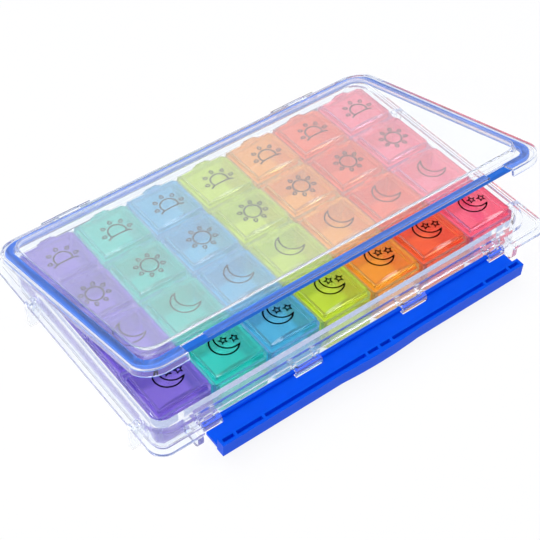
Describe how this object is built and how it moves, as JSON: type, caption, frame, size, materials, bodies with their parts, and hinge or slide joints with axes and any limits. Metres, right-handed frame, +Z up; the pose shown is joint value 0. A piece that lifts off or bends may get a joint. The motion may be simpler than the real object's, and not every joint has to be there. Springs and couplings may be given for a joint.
{
  "type": "weekly pill organizer",
  "caption": "Clear flip-top case with a latch flap and a hinged lid, holding coloured day trays whose compartments each have a hinged lid for one dose time.",
  "frame": {"origin": "centre of the tub's flat underside, where the case stands", "axes": "+Z up, +X along the days from purple to pink, front with the latch at -Y"},
  "size_m": [0.2294, 0.1599, 0.0609],
  "materials": {
    "clear_case": "clear polished polycarbonate",
    "hinge_steel": "drawn steel wire",
    "silicone_seal": "satin blue silicone",
    "latch_blue": "opaque moulded polypropylene",
    "purple_tint": "tinted clear moulded plastic",
    "teal_tint": "tinted clear moulded plastic",
    "blue_tint": "tinted clear moulded plastic",
    "lime_tint": "tinted clear moulded plastic",
    "orange_tint": "tinted clear moulded plastic",
    "red_tint": "tinted clear moulded plastic",
    "pink_tint": "tinted clear moulded plastic"
  },
  "bodies": {
    "base": {"base_tub": "clear_case", "hinge_pin_left": "hinge_steel", "hinge_pin_right": "hinge_steel", "day_tray_1": "purple_tint", "day_tray_2": "teal_tint", "day_tray_3": "blue_tint", "day_tray_4": "lime_tint", "day_tray_5": "orange_tint", "day_tray_6": "red_tint", "day_tray_7": "pink_tint"},
    "case_lid": {"case_lid": "clear_case", "lid_gasket": "silicone_seal"},
    "latch_flap": {"latch_flap": "latch_blue"},
    "dose_lid_1_1": {"dose_lid_1_1": "purple_tint"},
    "dose_lid_1_2": {"dose_lid_1_2": "purple_tint"},
    "dose_lid_1_3": {"dose_lid_1_3": "purple_tint"},
    "dose_lid_1_4": {"dose_lid_1_4": "purple_tint"},
    "dose_lid_2_1": {"dose_lid_2_1": "teal_tint"},
    "dose_lid_2_2": {"dose_lid_2_2": "teal_tint"},
    "dose_lid_2_3": {"dose_lid_2_3": "teal_tint"},
    "dose_lid_2_4": {"dose_lid_2_4": "teal_tint"},
    "dose_lid_3_1": {"dose_lid_3_1": "blue_tint"},
    "dose_lid_3_2": {"dose_lid_3_2": "blue_tint"},
    "dose_lid_3_3": {"dose_lid_3_3": "blue_tint"},
    "dose_lid_3_4": {"dose_lid_3_4": "blue_tint"},
    "dose_lid_4_1": {"dose_lid_4_1": "lime_tint"},
    "dose_lid_4_2": {"dose_lid_4_2": "lime_tint"},
    "dose_lid_4_3": {"dose_lid_4_3": "lime_tint"},
    "dose_lid_4_4": {"dose_lid_4_4": "lime_tint"},
    "dose_lid_5_1": {"dose_lid_5_1": "orange_tint"},
    "dose_lid_5_2": {"dose_lid_5_2": "orange_tint"},
    "dose_lid_5_3": {"dose_lid_5_3": "orange_tint"},
    "dose_lid_5_4": {"dose_lid_5_4": "orange_tint"},
    "dose_lid_6_1": {"dose_lid_6_1": "red_tint"},
    "dose_lid_6_2": {"dose_lid_6_2": "red_tint"},
    "dose_lid_6_3": {"dose_lid_6_3": "red_tint"},
    "dose_lid_6_4": {"dose_lid_6_4": "red_tint"},
    "dose_lid_7_1": {"dose_lid_7_1": "pink_tint"},
    "dose_lid_7_2": {"dose_lid_7_2": "pink_tint"},
    "dose_lid_7_3": {"dose_lid_7_3": "pink_tint"},
    "dose_lid_7_4": {"dose_lid_7_4": "pink_tint"}
  },
  "joints": [
    {"name": "case_lid_hinge", "type": "hinge", "parent": "base", "child": "case_lid", "pos_m": [0, 0.07176, 0.0175], "axis": [-1, 0, 0], "range_deg": [-15.35, 93]},
    {"name": "latch_hinge", "type": "hinge", "parent": "base", "child": "latch_flap", "pos_m": [0, -0.0685, 0.0122], "axis": [1, 0, 0], "range_deg": [-93.2, 25]},
    {"name": "dose_hinge_1_1", "type": "hinge", "parent": "base", "child": "dose_lid_1_1", "pos_m": [-0.0889, -0.0314, 0.0211], "axis": [-1, 0, 0], "range_deg": [0, 110]},
    {"name": "dose_hinge_1_2", "type": "hinge", "parent": "base", "child": "dose_lid_1_2", "pos_m": [-0.0889, -0.0014, 0.0211], "axis": [-1, 0, 0], "range_deg": [0, 70]},
    {"name": "dose_hinge_1_3", "type": "hinge", "parent": "base", "child": "dose_lid_1_3", "pos_m": [-0.0889, 0.0286, 0.0211], "axis": [-1, 0, 0], "range_deg": [0, 45]},
    {"name": "dose_hinge_1_4", "type": "hinge", "parent": "base", "child": "dose_lid_1_4", "pos_m": [-0.0889, 0.0586, 0.0211], "axis": [-1, 0, 0], "range_deg": [0, 26]},
    {"name": "dose_hinge_2_1", "type": "hinge", "parent": "base", "child": "dose_lid_2_1", "pos_m": [-0.0589, -0.0314, 0.0211], "axis": [-1, 0, 0], "range_deg": [0, 110]},
    {"name": "dose_hinge_2_2", "type": "hinge", "parent": "base", "child": "dose_lid_2_2", "pos_m": [-0.0589, -0.0014, 0.0211], "axis": [-1, 0, 0], "range_deg": [0, 70]},
    {"name": "dose_hinge_2_3", "type": "hinge", "parent": "base", "child": "dose_lid_2_3", "pos_m": [-0.0589, 0.0286, 0.0211], "axis": [-1, 0, 0], "range_deg": [0, 45]},
    {"name": "dose_hinge_2_4", "type": "hinge", "parent": "base", "child": "dose_lid_2_4", "pos_m": [-0.0589, 0.0586, 0.0211], "axis": [-1, 0, 0], "range_deg": [0, 26]},
    {"name": "dose_hinge_3_1", "type": "hinge", "parent": "base", "child": "dose_lid_3_1", "pos_m": [-0.0289, -0.0314, 0.0211], "axis": [-1, 0, 0], "range_deg": [0, 110]},
    {"name": "dose_hinge_3_2", "type": "hinge", "parent": "base", "child": "dose_lid_3_2", "pos_m": [-0.0289, -0.0014, 0.0211], "axis": [-1, 0, 0], "range_deg": [0, 70]},
    {"name": "dose_hinge_3_3", "type": "hinge", "parent": "base", "child": "dose_lid_3_3", "pos_m": [-0.0289, 0.0286, 0.0211], "axis": [-1, 0, 0], "range_deg": [0, 45]},
    {"name": "dose_hinge_3_4", "type": "hinge", "parent": "base", "child": "dose_lid_3_4", "pos_m": [-0.0289, 0.0586, 0.0211], "axis": [-1, 0, 0], "range_deg": [0, 26]},
    {"name": "dose_hinge_4_1", "type": "hinge", "parent": "base", "child": "dose_lid_4_1", "pos_m": [0.0011, -0.0314, 0.0211], "axis": [-1, 0, 0], "range_deg": [0, 110]},
    {"name": "dose_hinge_4_2", "type": "hinge", "parent": "base", "child": "dose_lid_4_2", "pos_m": [0.0011, -0.0014, 0.0211], "axis": [-1, 0, 0], "range_deg": [0, 70]},
    {"name": "dose_hinge_4_3", "type": "hinge", "parent": "base", "child": "dose_lid_4_3", "pos_m": [0.0011, 0.0286, 0.0211], "axis": [-1, 0, 0], "range_deg": [0, 45]},
    {"name": "dose_hinge_4_4", "type": "hinge", "parent": "base", "child": "dose_lid_4_4", "pos_m": [0.0011, 0.0586, 0.0211], "axis": [-1, 0, 0], "range_deg": [0, 26]},
    {"name": "dose_hinge_5_1", "type": "hinge", "parent": "base", "child": "dose_lid_5_1", "pos_m": [0.0311, -0.0314, 0.0211], "axis": [-1, 0, 0], "range_deg": [0, 110]},
    {"name": "dose_hinge_5_2", "type": "hinge", "parent": "base", "child": "dose_lid_5_2", "pos_m": [0.0311, -0.0014, 0.0211], "axis": [-1, 0, 0], "range_deg": [0, 70]},
    {"name": "dose_hinge_5_3", "type": "hinge", "parent": "base", "child": "dose_lid_5_3", "pos_m": [0.0311, 0.0286, 0.0211], "axis": [-1, 0, 0], "range_deg": [0, 45]},
    {"name": "dose_hinge_5_4", "type": "hinge", "parent": "base", "child": "dose_lid_5_4", "pos_m": [0.0311, 0.0586, 0.0211], "axis": [-1, 0, 0], "range_deg": [0, 26]},
    {"name": "dose_hinge_6_1", "type": "hinge", "parent": "base", "child": "dose_lid_6_1", "pos_m": [0.0611, -0.0314, 0.0211], "axis": [-1, 0, 0], "range_deg": [0, 110]},
    {"name": "dose_hinge_6_2", "type": "hinge", "parent": "base", "child": "dose_lid_6_2", "pos_m": [0.0611, -0.0014, 0.0211], "axis": [-1, 0, 0], "range_deg": [0, 70]},
    {"name": "dose_hinge_6_3", "type": "hinge", "parent": "base", "child": "dose_lid_6_3", "pos_m": [0.0611, 0.0286, 0.0211], "axis": [-1, 0, 0], "range_deg": [0, 45]},
    {"name": "dose_hinge_6_4", "type": "hinge", "parent": "base", "child": "dose_lid_6_4", "pos_m": [0.0611, 0.0586, 0.0211], "axis": [-1, 0, 0], "range_deg": [0, 26]},
    {"name": "dose_hinge_7_1", "type": "hinge", "parent": "base", "child": "dose_lid_7_1", "pos_m": [0.0911, -0.0314, 0.0211], "axis": [-1, 0, 0], "range_deg": [0, 110]},
    {"name": "dose_hinge_7_2", "type": "hinge", "parent": "base", "child": "dose_lid_7_2", "pos_m": [0.0911, -0.0014, 0.0211], "axis": [-1, 0, 0], "range_deg": [0, 70]},
    {"name": "dose_hinge_7_3", "type": "hinge", "parent": "base", "child": "dose_lid_7_3", "pos_m": [0.0911, 0.0286, 0.0211], "axis": [-1, 0, 0], "range_deg": [0, 45]},
    {"name": "dose_hinge_7_4", "type": "hinge", "parent": "base", "child": "dose_lid_7_4", "pos_m": [0.0911, 0.0586, 0.0211], "axis": [-1, 0, 0], "range_deg": [0, 26]}
  ]
}
